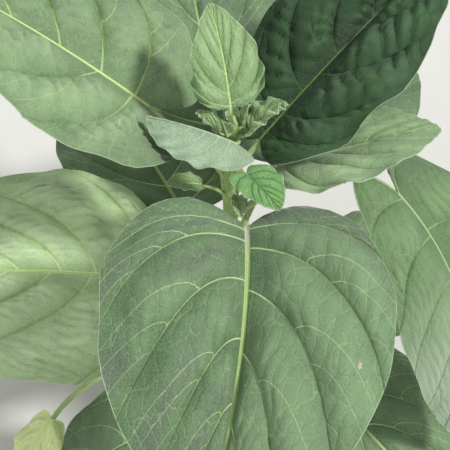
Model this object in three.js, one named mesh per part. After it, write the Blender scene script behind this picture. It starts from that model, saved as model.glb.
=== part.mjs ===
// A young tobacco plant: one upright stem, large stalked leaves all round it, and a crown of small
// leaves at its tip. It stands on a flat cut at ground level. Millimetres and degrees, +Z up.
// +Y is the side away from the viewer, so a leaf whose turn is 270 hangs towards them.
import * as THREE from "three";

// Stem: its height to the growing tip, how far the tip leans, and its radii.
const STEM_HEIGHT = 430;
const STEM_LEAN = { x: 4, y: -4 };
const STEM_FOOT_RADIUS = 11;
const STEM_TIP_RADIUS = 4;
const FLARE_RADIUS = 6;
const FLARE_HEIGHT = 30;
const STEM_SIDES = 16;
const STEM_RINGS = 20;

// Bud of unopened leaves on the stem's tip.
const BUD_RADIUS = 3.6;
const BUD_HEIGHT = 11;
const BUD_BLUNTNESS = 0.7;
const BUD_SIDES = 10;
const BUD_RINGS = 6;

// Blades are thin plates. Stalks are round, and a grown leaf's stalk runs on as its midrib,
// under the blade.
const BLADE = { thickness: 2.4, cellsAcross: 6, cellsAlong: 10 };
const SMALL_BLADE = { thickness: 1, cellsAcross: 4, cellsAlong: 6 };
const STALK = { footShare: 0.55, end: 2.4, tip: 0.9, sides: 8, piece: 24, ribShare: 0.45 };
const SMALL_STALK = { footShare: 0.38, end: 1, tip: 1, sides: 6, piece: 10, ribShare: 0 };

// Gaps: the usual one between two pieces, the extra share of the stem's radius that clears its
// round side from the flat facets of a stalk's end, and the one between a blade and its midrib.
const SEAT_GAP = 0.3;
const SEAT_ROUNDING = 0.035;
const RIB_GAP = 0.9;

// How each change builds up along a stalk: its slope, sideways swing, taper and roll go with these
// powers of the way, and a grown leaf's stalk has sunk to the midrib's depth by the end share.
const STALK_POWER = { slope: 1.5, swing: 3, taper: 0.6, roll: 2, sink: 2 };
const SINK_END = 0.8;

// The midrib droops with this power of the way to its tip.
const DROOP_POWER = 1.2;

// Outline: the angle on its rounded base at which the blade's notch starts, how fast it narrows
// towards the tip, how much fuller it is near the base, and half the width of its blunt tip.
const BASE_ANGLE = 22;
const TAPER = 0.5;
const FULLNESS = 0.25;
const FULLNESS_PEAK = 0.35;
const TIP_HALF_WIDTH = 1.2;

// Side veins: how they leave the midrib, crowded near its base, and how they curve to the margin.
const VEIN_START = { even: 0.08, power: 3.2 };
const VEIN_CURVE = { forward: 0.22, out: 0.55 };
const NOTCH_CURVE = { forward: 1.1, out: 0.1, reach: 0.06 };

// The plate's cross lines lie wider apart in the lobes than by the tip, by this power.
const LINE_SPREAD = 0.75;

// The left and right margins wave out of step by this angle, in radians.
const WAVE_LAG = 1.7;

// Steps in which a stalk and a midrib are followed from the stem outwards.
const STALK_STEPS = 24;
const RIB_STEPS = 60;

// What a leaf has unless its own row says otherwise.
// node: height of its joint on the stem. turn: direction from the stem. stalk: length.
// rise, pitch: slope of the stalk where it leaves the stem, and where it meets the blade.
// swing: how far the stalk turns sideways. bend, droop: how far the midrib turns and falls.
// roll, twist: tilt of the blade at its base, and how much is added by its tip.
// fold: lift of its two sides. side: what the left side has more, and the right side less.
// cup: degrees by which the sides fall away again per millimetre. lobe: how far the base reaches
// back, as a share of the length, with lobeSide as side is. wave, waves: the margin's waves.
// short: how far a small leaf's stalk stays short of its blade.
const USUAL = {
  swing: 0,
  bend: 0,
  roll: 0,
  twist: 0,
  fold: 12,
  side: 0,
  cup: 0.1,
  lobe: 0.07,
  lobeSide: 0,
  fullness: FULLNESS,
  wave: 4,
  waves: 3,
  short: 1.1,
};

// Grown leaves, from the ground up.
const LEAVES = [
  { node: 36, turn: 70, stalk: 55, rise: 30, length: 120, width: 95, pitch: 6, droop: 14 },
  { node: 58, turn: 318, stalk: 70, rise: 30, length: 150, width: 122, pitch: 8, droop: 22 },
  { node: 84, turn: 172, stalk: 80, rise: 32, length: 175, width: 145, pitch: 10, droop: 30 },
  { node: 108, turn: 20, stalk: 85, rise: 34, length: 190, width: 160, pitch: 10, droop: 34 },
  // An old, yellowing leaf on a long stalk, folded down along its midrib.
  { node: 112, turn: 202, stalk: 188, rise: 28, swing: 30, length: 110, width: 58, pitch: -28,
    droop: 45, roll: 6, fold: -18 },
  { node: 128, turn: 246, stalk: 92, rise: 30, length: 200, width: 165, pitch: 4, droop: 38 },
  { node: 160, turn: 318, stalk: 84, rise: 14, length: 200, width: 172, pitch: -8, droop: 38,
    roll: -4 },
  { node: 186, turn: 118, stalk: 90, rise: 34, length: 215, width: 182, pitch: 8, droop: 34 },
  { node: 225, turn: 203, stalk: 76, rise: 38, swing: -21, length: 231, width: 214, pitch: 12,
    droop: 26, bend: -4, roll: -9, fold: 5, lobe: 0.09 },
  { node: 262, turn: 62, stalk: 88, rise: 38, length: 235, width: 200, pitch: 6, droop: 35 },
  { node: 300, turn: 98, stalk: 80, rise: 42, length: 235, width: 205, pitch: 14, droop: 32 },
  { node: 322, turn: 14, stalk: 146, rise: 34, swing: -56, length: 244, width: 138, pitch: -26,
    droop: 52, bend: -50, roll: -10, twist: 2, fold: 2, cup: 0.08, lobe: 0.18, fullness: 0.2 },
  { node: 354, turn: 10, stalk: 39, rise: 43, length: 133, width: 106, pitch: 14, droop: 12,
    roll: -8, twist: -4, fold: 7, side: -3, lobe: 0.09 },
  { node: 356, turn: 283.5, stalk: 66, rise: 40, swing: -12, length: 228, width: 222, pitch: 5,
    droop: 52, bend: -19, roll: -2, twist: -2, fold: 19, side: -5, lobe: 0.1, fullness: 0.2 },
  { node: 369, turn: 150, stalk: 83, rise: 35, swing: 12, length: 244, width: 212, pitch: 34,
    droop: 20, roll: 6, twist: 8, fold: 13, lobe: 0.17, fullness: 0.3 },
  { node: 370, turn: 42, stalk: 34, rise: 48, length: 218, width: 136, pitch: 27, droop: 18,
    bend: 3, roll: 4, twist: 4, fold: 15, lobe: 0.09, fullness: 0.17 },
];

// Small leaves: two in the axils of lower stalks, one heart-shaped, and those of the crown.
const SMALL_LEAVES = [
  { node: 350, turn: 196, stalk: 26, rise: 55, length: 30, width: 20, pitch: 28, droop: 20,
    wave: 1 },
  { node: 375, turn: 277, stalk: 40, rise: 42, length: 18, width: 16, pitch: 4, droop: 30,
    fold: 40, wave: 1, short: 0.7 },
  { node: 394, turn: 291, stalk: 24, rise: 31, swing: 15, length: 41, width: 43, pitch: 3,
    droop: 18, bend: 3, roll: -11, twist: -2, fold: 10, lobe: 0.085, fullness: 0.28, wave: 1 },
  // Folded like a tent, with its near side hanging in front of the stem.
  { node: 415, turn: 300, stalk: 20, rise: 58, swing: -132, length: 68, width: 54, pitch: 20,
    droop: 22, bend: -2, fold: -62, side: 16, lobe: 0.18, lobeSide: 0.15, wave: 1.8, short: 2.6 },
  { node: 419, turn: 343, stalk: 11, rise: 26, swing: 32, length: 37, width: 32, pitch: 44,
    droop: 14, fold: 38, side: -6, lobe: -0.02, wave: 2.4, short: 0.5 },
  { node: 421, turn: 210, stalk: 7, rise: 30, swing: -58, length: 25, width: 15, pitch: 38,
    droop: 10, fold: 46, lobe: -0.02, wave: 1.2, short: 0.5 },
  { node: 425, turn: 238, stalk: 5, rise: 15, length: 19, width: 11, pitch: 74, droop: 4,
    fold: 35, lobe: -0.03, wave: 0.6, short: 0.7 },
  { node: 425, turn: 20, stalk: 5, rise: 15, length: 20, width: 11, pitch: 78, droop: 4,
    fold: 35, lobe: -0.03, wave: 0.6, short: 0.7 },
  { node: 429, turn: 98, stalk: 11, rise: 58, swing: 3, length: 79, width: 60, pitch: 52,
    droop: 16, bend: 10, roll: 2, twist: 2, fold: 10, lobe: 0.06, fullness: 0.29, wave: 2.5 },
];

const STEM_MATERIAL = new THREE.MeshStandardMaterial({ color: "#8ea95d", roughness: 0.7 });
const STALK_MATERIAL = new THREE.MeshStandardMaterial({ color: "#a3b786", roughness: 0.65 });
const BLADE_MATERIAL = new THREE.MeshStandardMaterial({ color: "#76896d", roughness: 0.75 });
const SMALL_BLADE_MATERIAL = new THREE.MeshStandardMaterial({ color: "#9eba88", roughness: 0.7 });

const UP = new THREE.Vector3(0, 0, 1);
const rad = THREE.MathUtils.degToRad;
const mix = THREE.MathUtils.lerp;

// Unit vector in a direction round the stem, at a slope.
function heading(turn, slope) {
  const level = Math.cos(rad(slope));
  return new THREE.Vector3(
    Math.cos(rad(turn)) * level,
    Math.sin(rad(turn)) * level,
    Math.sin(rad(slope)),
  );
}

function stemCentre(z) {
  const share = z / STEM_HEIGHT;
  return new THREE.Vector3(STEM_LEAN.x * share ** 2, STEM_LEAN.y * share ** 2, z);
}

function stemRadius(z) {
  const flare = Math.max(0, 1 - z / FLARE_HEIGHT) ** 2;
  return mix(STEM_FOOT_RADIUS, STEM_TIP_RADIUS, z / STEM_HEIGHT) + FLARE_RADIUS * flare;
}

// Point at a share of the way along a list of evenly spaced points.
function alongPath(path, share) {
  const place = THREE.MathUtils.clamp(share, 0, 1) * (path.length - 1);
  const before = Math.min(Math.floor(place), path.length - 2);
  return path[before].clone().lerp(path[before + 1], place - before);
}

// Which way the stalk runs at a share u of its length, and the midrib at a share t of its own.
function stalkDirection(leaf, u) {
  const turn = leaf.turn + leaf.swing * u ** STALK_POWER.swing;
  return heading(turn, mix(leaf.rise, leaf.pitch, u ** STALK_POWER.slope));
}

function ribDirection(leaf, t) {
  const turn = leaf.turn + leaf.swing + leaf.bend * t;
  return heading(turn, leaf.pitch - leaf.droop * t ** DROOP_POWER);
}

// A leaf's row with the paths of its stalk and midrib.
function grow(row) {
  const leaf = { ...USUAL, ...row };
  const foot = stemCentre(leaf.node);
  foot.addScaledVector(heading(leaf.turn, 0), stemRadius(leaf.node));
  leaf.stalkPath = [foot];
  for (let i = 0; i < STALK_STEPS; i++) {
    const direction = stalkDirection(leaf, (i + 0.5) / STALK_STEPS);
    const step = direction.multiplyScalar(leaf.stalk / STALK_STEPS);
    leaf.stalkPath.push(leaf.stalkPath[i].clone().add(step));
  }
  leaf.ribPath = [leaf.stalkPath[STALK_STEPS]];
  for (let i = 0; i < RIB_STEPS; i++) {
    const step = ribDirection(leaf, (i + 0.5) / RIB_STEPS).multiplyScalar(leaf.length / RIB_STEPS);
    leaf.ribPath.push(leaf.ribPath[i].clone().add(step));
  }
  return leaf;
}

// The direction to the left of a path and the one square above it, tilted by an angle.
function crossAxes(along, tilt) {
  const left = new THREE.Vector3().crossVectors(UP, along).normalize();
  const above = new THREE.Vector3().crossVectors(along, left);
  const side = left.clone().multiplyScalar(Math.cos(tilt)).addScaledVector(above, Math.sin(tilt));
  const top = above.multiplyScalar(Math.cos(tilt)).addScaledVector(left, -Math.sin(tilt));
  return { side, top };
}

// Where the midrib is at a share of the blade's length, and which way the blade faces there.
// Before its start, in the lobes, the blade runs straight back.
function ribFrame(leaf, share) {
  const t = THREE.MathUtils.clamp(share, 0, 1);
  const along = ribDirection(leaf, t);
  const point = alongPath(leaf.ribPath, t);
  point.addScaledVector(along, Math.min(share, 0) * leaf.length);
  return { point, ...crossAxes(along, rad(leaf.roll + leaf.twist * t)) };
}

// A point of the flat blade: t runs along the margin from the notch to the tip, and s across,
// from 0 on the midrib to 1 on the left margin and -1 on the right one, following the side veins.
function flatBlade(leaf, t, s) {
  const lobe = leaf.lobe + Math.sign(s) * leaf.lobeSide;
  const angle = mix(rad(BASE_ANGLE), Math.PI, t);
  const along = (1 - Math.cos(angle)) / 2;
  const full = (1 + leaf.fullness * Math.cos(angle)) / (1 + leaf.fullness * FULLNESS_PEAK);
  const marginX = along * (1 + lobe) - lobe;
  const marginY = Math.sin(angle) ** (1 + TAPER * along ** 2) * full;
  const start = VEIN_START.even * t + (1 - VEIN_START.even) * t ** VEIN_START.power;
  const notch = Math.exp(-t / NOTCH_CURVE.reach);
  const midX = mix(start, marginX, VEIN_CURVE.forward + NOTCH_CURVE.forward * notch);
  const midY = (VEIN_CURVE.out - NOTCH_CURVE.out * notch) * marginY;
  const a = Math.abs(s);
  const x = (1 - a) ** 2 * start + 2 * a * (1 - a) * midX + a * a * marginX;
  const y = 2 * a * (1 - a) * midY + a * a * marginY;
  return {
    x: x * leaf.length,
    y: Math.sign(s) * y * (leaf.width / 2) + s * t * TIP_HALF_WIDTH,
  };
}

// A point of the blade in space, at a height over its middle layer.
function bladePoint(leaf, t, s, height) {
  const { x, y } = flatBlade(leaf, t, s);
  const { point, side, top } = ribFrame(leaf, x / leaf.length);
  const hand = y < 0 ? -1 : 1;
  const out = Math.abs(y);
  const lift = leaf.fold + hand * leaf.side;
  const chord = rad(lift - (leaf.cup * out) / 2);
  const slope = out > 0 ? rad(lift - leaf.cup * out) : 0;
  const phase = (2 * Math.PI * leaf.waves * x) / leaf.length + (hand < 0 ? WAVE_LAG : 0);
  const ripple = leaf.wave * (out / (leaf.width / 2)) ** 2 * Math.sin(phase);
  point.addScaledVector(side, hand * (out * Math.cos(chord) - height * Math.sin(slope)));
  point.addScaledVector(top, out * Math.sin(chord) + ripple + height * Math.cos(slope));
  return point;
}

// Moves each vertex of a geometry to where place puts it.
function reshape(geometry, place) {
  const position = geometry.attributes.position;
  const vertex = new THREE.Vector3();
  for (let i = 0; i < position.count; i++) {
    const moved = place(vertex.fromBufferAttribute(position, i));
    position.setXYZ(i, moved.x, moved.y, moved.z);
  }
  geometry.computeVertexNormals();
  return geometry;
}

function stemGeometry() {
  const cylinder = new THREE.CylinderGeometry(1, 1, 1, STEM_SIDES, STEM_RINGS);
  return reshape(cylinder, (v) => {
    const z = (v.y + 0.5) * STEM_HEIGHT;
    const around = new THREE.Vector3(v.x, -v.z, 0).multiplyScalar(stemRadius(z));
    return stemCentre(z).add(around);
  });
}

function budGeometry() {
  const profile = [new THREE.Vector2(0, 0)];
  for (let i = 0; i <= BUD_RINGS; i++) {
    const share = i / BUD_RINGS;
    const radius = BUD_RADIUS * Math.cos((share * Math.PI) / 2) ** BUD_BLUNTNESS;
    profile.push(new THREE.Vector2(i < BUD_RINGS ? radius : 0, share * BUD_HEIGHT));
  }
  const bud = new THREE.LatheGeometry(profile, BUD_SIDES).rotateX(Math.PI / 2);
  const foot = stemCentre(STEM_HEIGHT);
  return bud.translate(foot.x, foot.y, foot.z + SEAT_GAP);
}

function bladeGeometry(leaf, kind) {
  const box = new THREE.BoxGeometry(1, 1, 1, kind.cellsAcross, kind.cellsAlong, 1);
  return reshape(box, (v) => {
    const t = (v.y + 0.5) ** LINE_SPREAD;
    return bladePoint(leaf, t, -2 * v.x, v.z * kind.thickness);
  });
}

// Slides a point along a direction until it stands off the stem's surface by the seat's gap.
function seatOnStem(point, direction) {
  const offset = point.clone().sub(stemCentre(point.z)).setZ(0);
  const level = direction.clone().setZ(0);
  const reach = stemRadius(point.z) * (1 + SEAT_ROUNDING) + SEAT_GAP;
  const a = level.lengthSq();
  const b = offset.dot(level);
  const c = offset.lengthSq() - reach ** 2;
  return point.addScaledVector(direction, (-b + Math.sqrt(b * b - a * c)) / a);
}

// The stalk, from its seat on the stem to the blade. A grown leaf's sinks as it nears the blade
// and runs on underneath, so that the blade lies on it.
function stalkGeometry(leaf, kind, thickness) {
  const sinks = kind.ribShare > 0;
  const stalk = sinks ? leaf.stalk : leaf.stalk - leaf.short;
  const whole = stalk + kind.ribShare * leaf.length;
  const foot = kind.footShare * stemRadius(leaf.node);
  const pieces = Math.max(2, Math.round(whole / kind.piece));
  const cylinder = new THREE.CylinderGeometry(1, 1, 1, kind.sides, pieces);
  return reshape(cylinder, (v) => {
    const way = (v.y + 0.5) * whole;
    const u = Math.min(way / leaf.stalk, 1);
    const t = Math.max(way - leaf.stalk, 0) / leaf.length;
    const along = t > 0 ? ribDirection(leaf, t) : stalkDirection(leaf, u);
    const tilt = leaf.roll * u ** STALK_POWER.roll + leaf.twist * t;
    const { side, top } = crossAxes(along, rad(tilt));
    const radius = t > 0
      ? mix(kind.end, kind.tip, t / kind.ribShare)
      : mix(foot, kind.end, u ** STALK_POWER.taper);
    const point = t > 0 ? alongPath(leaf.ribPath, t) : alongPath(leaf.stalkPath, u);
    const sunk = Math.min(u / SINK_END, 1) ** STALK_POWER.sink;
    const depth = sinks ? (radius + thickness / 2 + RIB_GAP) * sunk : 0;
    point.addScaledVector(top, -depth);
    point.addScaledVector(side, v.x * radius);
    point.addScaledVector(top, -v.z * radius);
    return way > 0 ? point : seatOnStem(point, along);
  });
}

const plant = new THREE.Group();

function add(name, geometry, material) {
  const mesh = new THREE.Mesh(geometry, material);
  mesh.name = name;
  plant.add(mesh);
}

function addLeaves(rows, prefix, digits, blade, stalk, bladeMaterial) {
  rows.forEach((row, i) => {
    const leaf = grow(row);
    const number = String(i + 1).padStart(digits, "0");
    add(`${prefix}blade_${number}`, bladeGeometry(leaf, blade), bladeMaterial);
    add(`${prefix}stalk_${number}`, stalkGeometry(leaf, stalk, blade.thickness), STALK_MATERIAL);
  });
}

add("stem", stemGeometry(), STEM_MATERIAL);
add("bud", budGeometry(), SMALL_BLADE_MATERIAL);
addLeaves(LEAVES, "", 2, BLADE, STALK, BLADE_MATERIAL);
addLeaves(SMALL_LEAVES, "small_", 1, SMALL_BLADE, SMALL_STALK, SMALL_BLADE_MATERIAL);

export default plant;
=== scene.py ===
"""A young tobacco plant, rooted in level ground, under soft studio light.

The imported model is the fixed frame. This script puts a ridged stem, channelled stalks and thin,
veined leaves in the places of its plain solids. Leaves are worked out in millimetres and degrees,
and every mesh is written in metres.
"""
import math
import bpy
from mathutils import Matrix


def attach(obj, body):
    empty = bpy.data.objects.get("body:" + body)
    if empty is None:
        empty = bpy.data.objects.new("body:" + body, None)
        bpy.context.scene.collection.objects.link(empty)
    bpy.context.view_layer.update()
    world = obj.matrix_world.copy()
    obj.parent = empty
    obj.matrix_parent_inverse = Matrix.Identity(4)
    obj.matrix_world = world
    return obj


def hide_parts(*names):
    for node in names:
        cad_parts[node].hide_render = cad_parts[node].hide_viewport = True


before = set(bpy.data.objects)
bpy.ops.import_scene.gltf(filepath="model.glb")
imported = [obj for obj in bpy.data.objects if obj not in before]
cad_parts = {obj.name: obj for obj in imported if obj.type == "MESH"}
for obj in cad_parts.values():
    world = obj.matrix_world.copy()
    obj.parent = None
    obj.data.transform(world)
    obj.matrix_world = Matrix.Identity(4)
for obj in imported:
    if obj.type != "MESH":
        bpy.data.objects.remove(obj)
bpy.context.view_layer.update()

from types import SimpleNamespace

import bmesh
import bpy
import numpy as np
from bpy.props import FloatProperty, FloatVectorProperty, IntProperty, PointerProperty
from mathutils import Vector

bl_info = {
    "name": "Tobacco Plant",
    "version": (1, 0, 0),
    "blender": (4, 5, 0),
    "location": "View3D > Sidebar > Tobacco Plant",
    "description": "Builds the stem, stalks, veined leaves and crown of a young tobacco plant",
    "category": "Add Mesh",
}

MM = 0.001

# Stem: the height of its growing tip, how far that leans, and its radii, with the flare at its foot.
STEM_HEIGHT = 430.0
STEM_LEAN = (4.0, -4.0)
STEM_FOOT_RADIUS = 11.0
STEM_TIP_RADIUS = 4.0
FLARE_RADIUS = 6.0
FLARE_HEIGHT = 30.0
BUD_RADIUS = 3.6
BUD_HEIGHT = 11.0

# Outline of a blade and the run of its side veins, as shares of its length and half its width.
# RAGGED_WAVES: how fast two waves run along the outline, how low the second is against the first,
# and how far each leaf's number shifts it. WAVE_LAG: how far the waves of the right half lag behind.
# MARGIN_STEPS: how finely the runs of side veins are looked up.
BASE_ANGLE = 22.0
TAPER = 0.5
FULLNESS = 0.25
FULLNESS_PEAK = 0.35
TIP_HALF_WIDTH = 1.2
VEIN_START = 0.08
VEIN_OUT = 0.55
VEIN_SWEEP = (0.16, 0.2)
NOTCH_CURVE = (1.1, 0.1, 0.06)
RAGGED_WAVES = (23, 41, 0.7, 2.3)
WAVE_LAG = 1.7
MARGIN_STEPS = 500

# Rates of the waves that make up a soft noise, against one wave in its reach, and the angle in
# degrees above which an edge is sharp.
NOISE_RATES = (0.6, 1.3)
SHARP_ANGLE = 65

# Powers with which a stalk's slope, swing, taper and roll build up, and a midrib's droop, and the
# steps in which the two are laid out.
SLOPE_POWER = 1.5
SWING_POWER = 3
TAPER_POWER = 0.6
ROLL_POWER = 2
DROOP_POWER = 1.2
STALK_STEPS = 24
RIB_STEPS = 60

# Shares of the midrib at which the side veins leave it, to its left and right, on the three leaves
# that show them best, on a grown leaf in general and on a small one, and how far they may stray.
FRONT_VEINS = {1: (0.01, 0.09, 0.25, 0.46, 0.68, 0.82, 0.92),
               -1: (0.015, 0.065, 0.22, 0.42, 0.62, 0.78, 0.9)}
DEEP_VEINS = {1: (0.03, 0.09, 0.23, 0.42, 0.62, 0.8, 0.92),
              -1: (0.03, 0.12, 0.32, 0.56, 0.77, 0.9)}
BRIGHT_VEINS = {1: (0.06, 0.19, 0.38, 0.55, 0.7, 0.83, 0.92),
                -1: (0.05, 0.18, 0.33, 0.5, 0.66, 0.8, 0.91)}
GROWN_VEINS = {1: (0.02, 0.18, 0.37, 0.54, 0.69, 0.82, 0.92),
               -1: (0.03, 0.18, 0.33, 0.5, 0.66, 0.8, 0.91)}
SMALL_VEINS = {1: (0.03, 0.15, 0.33, 0.52, 0.7, 0.86), -1: (0.05, 0.2, 0.38, 0.57, 0.74, 0.88)}
VEIN_STRAY = 0.16

# What a leaf has unless its own row says otherwise. Its place and form are those of its solid.
# taper, ragged: how much its outline narrows towards the tip, and how uneven it is. dome, quilt,
# pucker: how far each half of the blade rises, and bulges between side veins and between cross
# veins. slant: how far forward the side veins lean. arch, arch_side: how far they leave the midrib
# forwards rather than square to it, and how much more so to the left. stray: how far they stray.
# rung: distance between cross veins. lean: by how many such distances a cross vein nears the midrib
# on its way forward to the next side vein. rib, vein: half the midrib's width at its foot, and half
# a side vein's. crisp, crisps, crisp_foot: height and number of the waves at the margin, and how
# much higher they are by the notch. wing: width of the ruffled wings that run down the stalk.
# bloom: how strong its dull bloom is, partly hairs and partly painted shade.
# tint: how much lighter its left half is painted than its right, as painted light and shade.
# scar: where a dry scar lies, forward and to the left.
USUAL = dict(
    swing=0, bend=0, roll=0, twist=0, fold=12, side=0, cup=0.1, lobe=0.07, lobe_side=0,
    fullness=FULLNESS, taper=TAPER, ragged=0.009, wave=4, waves=3, dome=2, quilt=3.4, pucker=0.55,
    slant=3, arch=0.14, arch_side=0, stray=1, rung=14, lean=0, rib=2.3, vein=0.95,
    veins=GROWN_VEINS, crisp=0.5, crisps=11, crisp_foot=0, wing=0, skin="grown", bloom=0.35, tint=0,
    scar=None,
)

LEAVES = [
    dict(node=36, turn=70, stalk=55, rise=30, length=120, width=95, pitch=6, droop=14, rib=1.6),
    dict(node=58, turn=318, stalk=70, rise=30, length=150, width=122, pitch=8, droop=22, rib=1.8),
    dict(node=84, turn=172, stalk=80, rise=32, length=175, width=145, pitch=10, droop=30, rib=2),
    dict(node=108, turn=20, stalk=85, rise=34, length=190, width=160, pitch=10, droop=34),
    # This old leaf's pale skin is partly its age and partly painted light.
    dict(node=112, turn=202, stalk=188, rise=28, swing=30, length=110, width=58, pitch=-28,
         droop=45, roll=6, fold=-18, skin="old", rib=1.0, quilt=1.4, rung=8, vein=0.6, crisp=1),
    dict(node=128, turn=246, stalk=92, rise=30, length=200, width=165, pitch=4, droop=38),
    dict(node=160, turn=318, stalk=84, rise=14, length=200, width=172, pitch=-8, droop=38, roll=-4),
    dict(node=186, turn=118, stalk=90, rise=34, length=215, width=182, pitch=8, droop=34),
    # This leaf's skin is painted sunlight.
    dict(node=225, turn=203, stalk=76, rise=38, swing=-21, length=231, width=214, pitch=12,
         droop=26, bend=-4, roll=-9, fold=5, lobe=0.09, skin="painted_sun", rib=1.7, quilt=4.6, pucker=2.2,
         rung=10),
    dict(node=262, turn=62, stalk=88, rise=38, length=235, width=200, pitch=6, droop=35),
    dict(node=300, turn=98, stalk=80, rise=42, length=235, width=205, pitch=14, droop=32),
    dict(node=322, turn=14, stalk=146, rise=34, swing=-56, length=244, width=138, pitch=-26,
         droop=52, bend=-50, roll=-10, twist=2, fold=2, cup=0.08, lobe=0.18, fullness=0.2,
         skin="dull", quilt=3, pucker=1.4, rung=9, rib=1.0, arch=0.1, slant=1.7, vein=0.8),
    dict(node=354, turn=10, stalk=39, rise=43, length=133, width=106, pitch=14, droop=12, roll=-8,
         twist=-4, fold=7, side=-3, lobe=0.09, skin="pale", rib=1.0, quilt=4.2, vein=0.5, rung=12,
         pucker=0.3),
    dict(node=356, turn=283.5, stalk=66, rise=40, swing=-12, length=228, width=222, pitch=5,
         droop=52, bend=-19, roll=-2, twist=-2, fold=19, side=-5, lobe=0.1, fullness=0.2, arch=0.1,
         arch_side=0.1, veins=FRONT_VEINS, stray=0, quilt=6, pucker=1.1, bloom=0.75, dome=4.5,
         scar=(110, 82), slant=3.2, vein=0.8, tint=0.45),
    dict(node=369, turn=150, stalk=83, rise=35, swing=12, length=244, width=212, pitch=34, droop=20,
         roll=6, twist=8, fold=13, lobe=0.17, fullness=0.3, skin="bright", stray=0, pucker=3.8,
         rung=12, lean=3, quilt=4.6, rib=1.5, slant=2.3, arch=0.3, veins=BRIGHT_VEINS, ragged=0.016),
    # This leaf's skin is painted shade.
    dict(node=370, turn=42, stalk=34, rise=48, length=218, width=136, pitch=27, droop=18, bend=3,
         roll=4, twist=4, fold=15, lobe=0.09, fullness=0.17, skin="painted_shade", veins=DEEP_VEINS,
         stray=0, quilt=3.2, pucker=3.8, rung=13, rib=1.0, vein=0.6, bloom=0.2, slant=2.1,
         ragged=0.024, wave=6.5, lean=2.8, tint=-0.4),
]

# Small leaves: two in the axils of lower stalks, one heart-shaped, and those of the crown.
SMALL_USUAL = dict(
    ragged=0.02, dome=0.3, quilt=0.5, pucker=0.3, rung=3.5, rib=0.6, vein=0.28, veins=SMALL_VEINS,
    crisp=0.3, crisps=6, skin="young", bloom=0,
)
SMALL_LEAVES = [
    dict(node=350, turn=196, stalk=26, rise=55, length=30, width=20, pitch=28, droop=20, wave=1),
    dict(node=375, turn=277, stalk=40, rise=42, length=18, width=16, pitch=4, droop=30, fold=40,
         wave=1, crisp=0.5),
    dict(node=394, turn=291, stalk=24, rise=31, swing=15, length=41, width=43, pitch=3, droop=18,
         bend=3, roll=-11, twist=-2, fold=10, lobe=0.17, fullness=0.28, wave=1, skin="heart",
         quilt=0.9, pucker=0.15, vein=0.4, rib=0.5, arch=0.25),
    dict(node=415, turn=300, stalk=20, rise=58, swing=-132, length=68, width=54, pitch=20,
         droop=22, bend=-2, fold=-62, side=16, lobe=0.18, lobe_side=0.15, wave=1.8, skin="folded",
         quilt=-0.7, pucker=0.08, rung=9, crisp=0.8, vein=0.3, ragged=0.03, taper=0, fullness=0,
         rib=0.9),
    dict(node=419, turn=343, stalk=11, rise=26, swing=32, length=37, width=32, pitch=44, droop=14,
         fold=38, side=-14, lobe=-0.02, wave=2.4, crisp=2.4, crisps=4.2, pucker=0.5, wing=5),
    dict(node=421, turn=210, stalk=7, rise=30, swing=-58, length=25, width=15, pitch=38, droop=10,
         fold=40, lobe=-0.02, wave=1.2, crisp=0.9, crisps=4, wing=3),
    dict(node=425, turn=238, stalk=5, rise=15, length=19, width=11, pitch=74, droop=4, fold=35,
         lobe=-0.03, wave=0.6),
    dict(node=425, turn=20, stalk=5, rise=15, length=20, width=11, pitch=78, droop=4, fold=35,
         lobe=-0.03, wave=0.6),
    dict(node=429, turn=98, stalk=11, rise=58, swing=3, length=79, width=60, pitch=52, droop=16,
         bend=10, roll=2, twist=2, fold=10, lobe=0.04, fullness=0.4, wave=2.5, quilt=1.5,
         pucker=0.85, crisp=0.5, crisps=8, crisp_foot=3.8, rung=5, ragged=0.036, vein=0.36,
         rib=0.9, arch=0.3, wing=5.5),
]

# Colours of each kind of leaf: its skin between the veins, darker with painted shade in hollows and
# lighter with painted light on crests, its veins, its midrib at the foot and beyond, its underside,
# and a painted sheen towards its tip, if it has any. relief: how strongly its net of veins shows.
# sheen: how silvery its hairs make it.
SKINS = {
    "grown": dict(low="#466140", high="#718c66", vein="#b9cc93", foot="#b7b3a6", rib="#a6bb74",
                  under="#8fa283"),
    # The dull leaf's tip colour is a painted sheen.
    "dull": dict(low="#4d6a44", high="#748f63", vein="#86a065", foot="#b2bf8e", rib="#9db47a",
                 under="#93a687", tip="#a3b59a"),
    # Painted sunlight: a leaf's colours painted much lighter, as if the sun fell on it.
    "painted_sun": dict(low="#8fae76", high="#cbe4b2", vein="#cfe29e", foot="#cfdf9f", rib="#d3e59a",
                  under="#a2b68e"),
    "bright": dict(low="#56704a", high="#8aa37a", vein="#a7c27c", foot="#c6d886", rib="#c9dc8c",
                   under="#9bb08a"),
    "pale": dict(low="#58774a", high="#9db589", vein="#9dba7c", foot="#b2bf8e", rib="#a5bf80",
                 under="#a0b38f"),
    # Painted shade: a leaf's colours painted dark all over, as if it lay in shade.
    "painted_shade": dict(low="#0f2110", high="#3a5936", vein="#3f5c30", foot="#66853f", rib="#56793a",
                   under="#6f8a66", sheen=0.1),
    # An old leaf, yellower with age and painted paler still, as painted light.
    "old": dict(low="#d4ee92", high="#f0fab2", vein="#e2eab4", foot="#d9e4a4", rib="#dfe8ac",
                under="#cbd8a8"),
    "young": dict(low="#5f7f50", high="#91ac7c", vein="#b4cd84", foot="#c6da98", rib="#bdd48a",
                  under="#aac092"),
    "folded": dict(low="#7f997a", high="#a6bb9b", vein="#cddcbe", foot="#c9d6ba", rib="#d3dcc6",
                   under="#9fb296", relief=0.12),
    "heart": dict(low="#537f49", high="#84b069", vein="#3d6b34", foot="#8fae62", rib="#4b7a3c",
                  under="#94b57c"),
}


def hex_colour(text):
    """A colour written as sRGB hex, turned to the linear values that shaders take."""
    parts = [int(text[i:i + 2], 16) / 255 for i in (1, 3, 5)]
    return (*(p / 12.92 if p <= 0.04045 else ((p + 0.055) / 1.055) ** 2.4 for p in parts), 1.0)


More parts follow.
